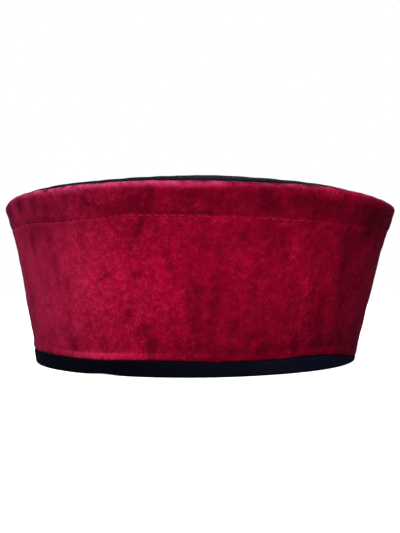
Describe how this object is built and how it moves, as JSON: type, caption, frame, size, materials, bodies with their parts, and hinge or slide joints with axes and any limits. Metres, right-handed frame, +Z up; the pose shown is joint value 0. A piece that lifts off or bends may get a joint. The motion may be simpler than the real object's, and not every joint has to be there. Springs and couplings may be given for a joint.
{
  "type": "sufi cap",
  "caption": "Round flared velvet cap: a stiff side wall with a turned and topstitched rim, a slightly domed cloth top and a folded cloth binding round its open lower edge.",
  "frame": {"origin": "on the floor, under the middle of the rim", "axes": "+Z up through the domed top, -Y out of the front that the picture shows, +X to the right of that view"},
  "size_m": [0.2209, 0.2226, 0.1009],
  "materials": {
    "red_velvet": "crushed velvet pile with a soft sheen",
    "black_cloth": "matte short pile cloth",
    "black_binding": "matte woven binding cloth"
  },
  "bodies": {
    "root": {"side_wall": "red_velvet", "domed_top": "black_cloth", "edge_binding": "black_binding"}
  },
  "joints": []
}
